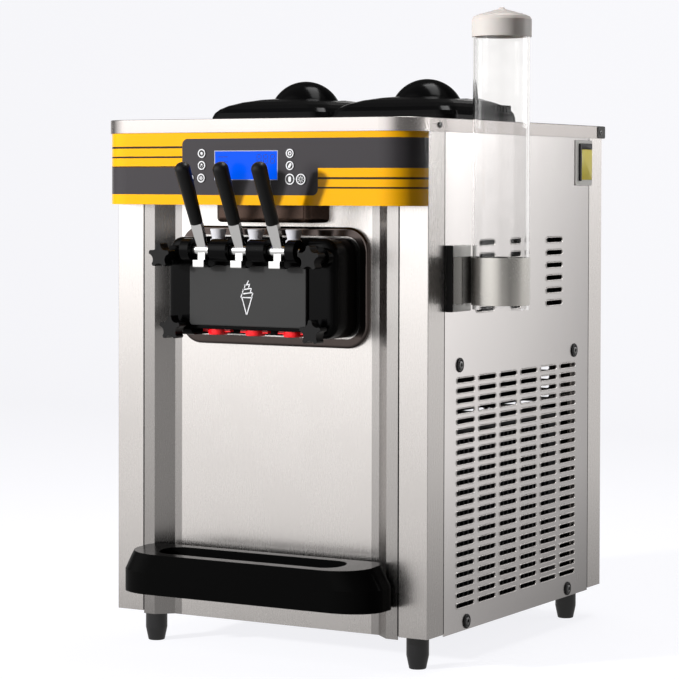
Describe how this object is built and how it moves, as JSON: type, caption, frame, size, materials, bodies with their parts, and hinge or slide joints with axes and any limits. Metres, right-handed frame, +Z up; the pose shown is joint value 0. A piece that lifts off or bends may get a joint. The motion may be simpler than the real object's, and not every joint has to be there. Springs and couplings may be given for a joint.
{
  "type": "soft-serve ice cream machine",
  "caption": "Countertop soft-serve machine: steel cabinet, lidded mix hoppers, lever taps, drip tray and a clear cone dispenser on the right.",
  "frame": {"origin": "bottom centre of the whole machine's bounding box, on the worktop under the feet", "axes": "+Z up, -Y towards the user at the taps, +X to the user's right where the cone dispenser is"},
  "size_m": [0.6366, 0.7182, 0.923],
  "materials": {
    "stainless": "brushed",
    "cover_steel": "brushed",
    "tank_steel": "satin",
    "bright_steel": "polished",
    "bezel_chrome": "dark polished",
    "fascia_print": "gloss printed",
    "display": "lit",
    "button_caps": "gloss",
    "bronze": "gloss",
    "black_gloss": "gloss",
    "black_satin": "satin",
    "dark_grey": "satin",
    "light_grey": "satin",
    "outlet_red": "gloss",
    "cap_white": "satin",
    "clear_tube": "clear",
    "block_plastic": "satin",
    "seal_rubber": "matte",
    "foot_rubber": "satin",
    "galvanised": "matte",
    "machine_black": "satin",
    "fin_aluminium": "satin",
    "fan_plastic": "satin",
    "screw_steel": "satin"
  },
  "bodies": {
    "cabinet": {"base_frame": "galvanised", "cabinet_screws": "screw_steel", "condenser": "fin_aluminium", "cone_tube": "clear_tube", "control_fascia": "fascia_print", "corner_posts": "stainless", "dispenser_band": "stainless", "dispenser_mount": "block_plastic", "dispensing_door": "black_gloss", "door_bezel": "bezel_chrome", "door_front_plate": "dark_grey", "door_seals": "seal_rubber", "door_studs": "bright_steel", "fan_housing": "galvanised", "freezing_cylinders": "tank_steel", "front_panel": "stainless", "hopper_left": "tank_steel", "hopper_right": "tank_steel", "lcd_display": "display", "light_cowl": "bronze", "motor_units": "machine_black", "nozzles": "outlet_red", "pivot_shaft": "bright_steel", "power_inlet": "black_satin", "rear_panel": "stainless", "side_panel_left": "stainless", "side_panel_right": "stainless", "top_cover": "cover_steel"},
    "lever_left": {"lever_left": "bright_steel", "grip_left": "black_satin"},
    "plunger_left": {"plunger_left": "light_grey"},
    "lever_middle": {"lever_middle": "bright_steel", "grip_middle": "black_satin"},
    "plunger_middle": {"plunger_middle": "light_grey"},
    "lever_right": {"lever_right": "bright_steel", "grip_right": "black_satin"},
    "plunger_right": {"plunger_right": "light_grey"},
    "chill_button": {"chill_button": "button_caps"},
    "freeze_button": {"freeze_button": "button_caps"},
    "hard_button": {"hard_button": "button_caps"},
    "light_button": {"light_button": "button_caps"},
    "set_button": {"set_button": "button_caps"},
    "soft_button": {"soft_button": "button_caps"},
    "stop_button": {"stop_button": "button_caps"},
    "wash_button": {"wash_button": "button_caps"},
    "star_knob_lower_left": {"star_knob_lower_left": "black_satin"},
    "star_knob_lower_right": {"star_knob_lower_right": "black_satin"},
    "star_knob_upper_left": {"star_knob_upper_left": "black_satin"},
    "star_knob_upper_right": {"star_knob_upper_right": "black_satin"},
    "foot_front_left": {"foot_front_left": "foot_rubber"},
    "foot_front_right": {"foot_front_right": "foot_rubber"},
    "foot_rear_left": {"foot_rear_left": "foot_rubber"},
    "foot_rear_right": {"foot_rear_right": "foot_rubber"},
    "hopper_lid_left": {"hopper_lid_left": "black_gloss"},
    "hopper_lid_right": {"hopper_lid_right": "black_gloss"},
    "cone_cap": {"cone_cap": "cap_white"},
    "drip_tray": {"drip_tray": "black_gloss"},
    "beater_left": {"beater_left": "light_grey"},
    "beater_right": {"beater_right": "light_grey"},
    "fan_blades": {"fan_blades": "fan_plastic"}
  },
  "joints": [
    {"name": "lever_left_pull", "type": "hinge", "parent": "cabinet", "child": "lever_left", "pos_m": [-0.11725, -0.29494, 0.5845], "axis": [1, 0, 0], "range_deg": [0, 35]},
    {"name": "plunger_left_lift", "type": "slide", "parent": "cabinet", "child": "plunger_left", "axis": [0, 0, 1], "range_m": [0, 0.0225]},
    {"name": "lever_middle_pull", "type": "hinge", "parent": "cabinet", "child": "lever_middle", "pos_m": [-0.05425, -0.29494, 0.5845], "axis": [1, 0, 0], "range_deg": [0, 35]},
    {"name": "plunger_middle_lift", "type": "slide", "parent": "cabinet", "child": "plunger_middle", "axis": [0, 0, 1], "range_m": [0, 0.0225]},
    {"name": "lever_right_pull", "type": "hinge", "parent": "cabinet", "child": "lever_right", "pos_m": [0.00875, -0.29494, 0.5845], "axis": [1, 0, 0], "range_deg": [0, 35]},
    {"name": "plunger_right_lift", "type": "slide", "parent": "cabinet", "child": "plunger_right", "axis": [0, 0, 1], "range_m": [0, 0.0225]},
    {"name": "chill_button_press", "type": "slide", "parent": "cabinet", "child": "chill_button", "axis": [0, 1, 0], "range_m": [0, 0.0008], "stiffness_N_per_m": 900},
    {"name": "freeze_button_press", "type": "slide", "parent": "cabinet", "child": "freeze_button", "axis": [0, 1, 0], "range_m": [0, 0.0008], "stiffness_N_per_m": 900},
    {"name": "hard_button_press", "type": "slide", "parent": "cabinet", "child": "hard_button", "axis": [0, 1, 0], "range_m": [0, 0.0008], "stiffness_N_per_m": 900},
    {"name": "light_button_press", "type": "slide", "parent": "cabinet", "child": "light_button", "axis": [0, 1, 0], "range_m": [0, 0.0008], "stiffness_N_per_m": 900},
    {"name": "set_button_press", "type": "slide", "parent": "cabinet", "child": "set_button", "axis": [0, 1, 0], "range_m": [0, 0.0008], "stiffness_N_per_m": 900},
    {"name": "soft_button_press", "type": "slide", "parent": "cabinet", "child": "soft_button", "axis": [0, 1, 0], "range_m": [0, 0.0008], "stiffness_N_per_m": 900},
    {"name": "stop_button_press", "type": "slide", "parent": "cabinet", "child": "stop_button", "axis": [0, 1, 0], "range_m": [0, 0.0008], "stiffness_N_per_m": 900},
    {"name": "wash_button_press", "type": "slide", "parent": "cabinet", "child": "wash_button", "axis": [0, 1, 0], "range_m": [0, 0.0008], "stiffness_N_per_m": 900},
    {"name": "star_knob_lower_left_turn", "type": "hinge", "parent": "cabinet", "child": "star_knob_lower_left", "pos_m": [-0.17075, -0.28859, 0.473], "axis": [0, 1, 0], "continuous": true},
    {"name": "star_knob_lower_right_turn", "type": "hinge", "parent": "cabinet", "child": "star_knob_lower_right", "pos_m": [0.06225, -0.28859, 0.473], "axis": [0, 1, 0], "continuous": true},
    {"name": "star_knob_upper_left_turn", "type": "hinge", "parent": "cabinet", "child": "star_knob_upper_left", "pos_m": [-0.17775, -0.30209, 0.576], "axis": [0, 1, 0], "continuous": true},
    {"name": "star_knob_upper_right_turn", "type": "hinge", "parent": "cabinet", "child": "star_knob_upper_right", "pos_m": [0.06925, -0.30209, 0.576], "axis": [0, 1, 0], "continuous": true},
    {"name": "hopper_lid_left_lift", "type": "slide", "parent": "cabinet", "child": "hopper_lid_left", "axis": [0, 0, 1], "range_m": [0, 0.08]},
    {"name": "hopper_lid_right_lift", "type": "slide", "parent": "cabinet", "child": "hopper_lid_right", "axis": [0, 0, 1], "range_m": [0, 0.08]},
    {"name": "cone_cap_lift", "type": "slide", "parent": "cabinet", "child": "cone_cap", "axis": [0, 0, 1], "range_m": [0, 0.05]},
    {"name": "drip_tray_pull", "type": "slide", "parent": "cabinet", "child": "drip_tray", "axis": [0, -1, 0], "range_m": [0, 0.08]},
    {"name": "beater_left_turn", "type": "hinge", "parent": "cabinet", "child": "beater_left", "pos_m": [-0.12425, -0.04119, 0.532], "axis": [0, 1, 0], "continuous": true},
    {"name": "beater_right_turn", "type": "hinge", "parent": "cabinet", "child": "beater_right", "pos_m": [0.01575, -0.04119, 0.532], "axis": [0, 1, 0], "continuous": true},
    {"name": "fan_turn", "type": "hinge", "parent": "cabinet", "child": "fan_blades", "pos_m": [0.11875, 0.04206, 0.1945], "axis": [1, 0, 0], "continuous": true},
    {"name": "foot_front_left_level", "type": "slide", "parent": "cabinet", "child": "foot_front_left", "axis": [0, 0, -1], "range_m": [0, 0.012]},
    {"name": "foot_front_right_level", "type": "slide", "parent": "cabinet", "child": "foot_front_right", "axis": [0, 0, -1], "range_m": [0, 0.012]},
    {"name": "foot_rear_left_level", "type": "slide", "parent": "cabinet", "child": "foot_rear_left", "axis": [0, 0, -1], "range_m": [0, 0.012]},
    {"name": "foot_rear_right_level", "type": "slide", "parent": "cabinet", "child": "foot_rear_right", "axis": [0, 0, -1], "range_m": [0, 0.012]}
  ],
  "couplings": [
    {"joint": "plunger_left_lift", "follows": "lever_left_pull", "m_per_rad": 0.0365},
    {"joint": "plunger_middle_lift", "follows": "lever_middle_pull", "m_per_rad": 0.0365},
    {"joint": "plunger_right_lift", "follows": "lever_right_pull", "m_per_rad": 0.0365}
  ]
}
